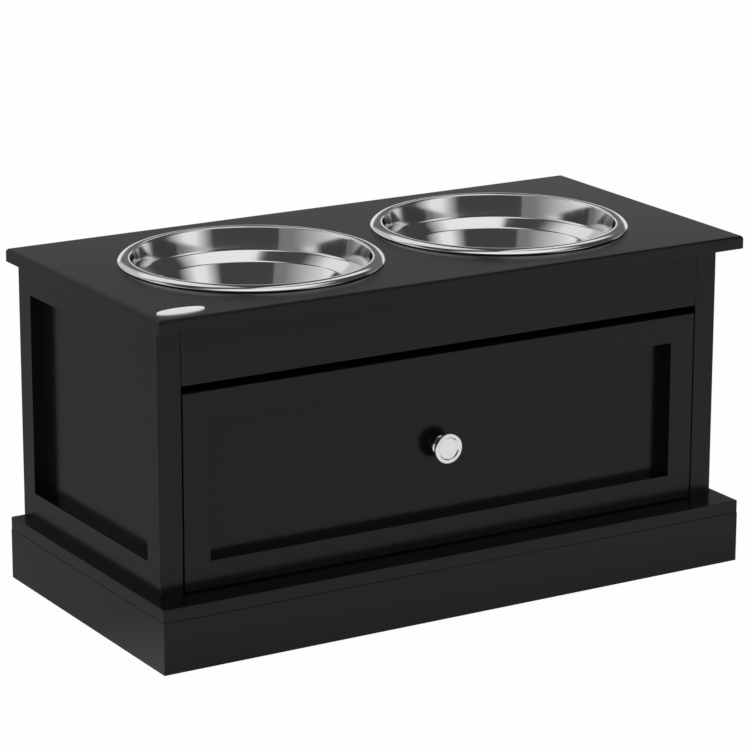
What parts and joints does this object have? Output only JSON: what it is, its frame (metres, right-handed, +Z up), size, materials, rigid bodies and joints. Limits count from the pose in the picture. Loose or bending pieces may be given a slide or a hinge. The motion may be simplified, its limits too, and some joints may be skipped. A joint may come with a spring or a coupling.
{
  "type": "elevated dog feeder with storage",
  "caption": "Low framed cabinet on a plinth, with a wide sliding storage drawer and round steel bowls hung in cut-outs in its top board.",
  "frame": {"origin": "on the floor under the point midway between the bowls, which is the middle of the base", "axes": "+X along the width, to the right seen from the front; +Y from the front to the back; +Z up"},
  "size_m": [0.6, 0.299, 0.3156],
  "materials": {
    "black_paint": "satin black paint on board",
    "bare_wood": "planed softwood and beech",
    "bowl_steel": "polished stainless steel",
    "knob_metal": "satin nickel",
    "badge_metal": "satin",
    "screw_steel": "zinc plated"
  },
  "bodies": {
    "cabinet": {"apron_dowels": "bare_wood", "back_cleat_screws": "screw_steel", "back_panel": "black_paint", "back_panel_screws": "screw_steel", "back_top_cleat": "bare_wood", "badge_plate": "badge_metal", "base_board": "black_paint", "base_board_screws": "screw_steel", "front_apron": "black_paint", "left_back_stile": "black_paint", "left_bottom_rail": "black_paint", "left_frame_dowels": "bare_wood", "left_front_stile": "black_paint", "left_runner": "bare_wood", "left_side_panel": "black_paint", "left_top_cleat": "bare_wood", "left_top_rail": "black_paint", "plinth_back": "black_paint", "plinth_corner_blocks": "bare_wood", "plinth_front": "black_paint", "plinth_left": "black_paint", "plinth_right": "black_paint", "plinth_screws": "screw_steel", "right_back_stile": "black_paint", "right_bottom_rail": "black_paint", "right_frame_dowels": "bare_wood", "right_front_stile": "black_paint", "right_runner": "bare_wood", "right_side_panel": "black_paint", "right_top_cleat": "bare_wood", "right_top_rail": "black_paint", "runner_screws": "screw_steel", "side_cleat_screws": "screw_steel", "side_frame_screws": "screw_steel", "top_board": "black_paint", "top_board_screws": "screw_steel"},
    "drawer": {"drawer_back": "black_paint", "drawer_bottom": "black_paint", "drawer_box_front": "black_paint", "drawer_box_screws": "screw_steel", "drawer_front_bottom_rail": "black_paint", "drawer_front_dowels": "bare_wood", "drawer_front_left_stile": "black_paint", "drawer_front_panel": "black_paint", "drawer_front_right_stile": "black_paint", "drawer_front_screws": "screw_steel", "drawer_front_top_rail": "black_paint", "drawer_knob": "knob_metal", "drawer_left_side": "black_paint", "drawer_right_side": "black_paint", "knob_screw": "screw_steel"},
    "left_bowl": {"left_bowl": "bowl_steel"},
    "right_bowl": {"right_bowl": "bowl_steel"}
  },
  "joints": [
    {"name": "drawer_slide", "type": "slide", "parent": "cabinet", "child": "drawer", "axis": [0, -1, 0], "range_m": [0, 0.17]},
    {"name": "left_bowl_lift", "type": "slide", "parent": "cabinet", "child": "left_bowl", "axis": [0, 0, 1], "range_m": [0, 0.1]},
    {"name": "right_bowl_lift", "type": "slide", "parent": "cabinet", "child": "right_bowl", "axis": [0, 0, 1], "range_m": [0, 0.1]}
  ]
}
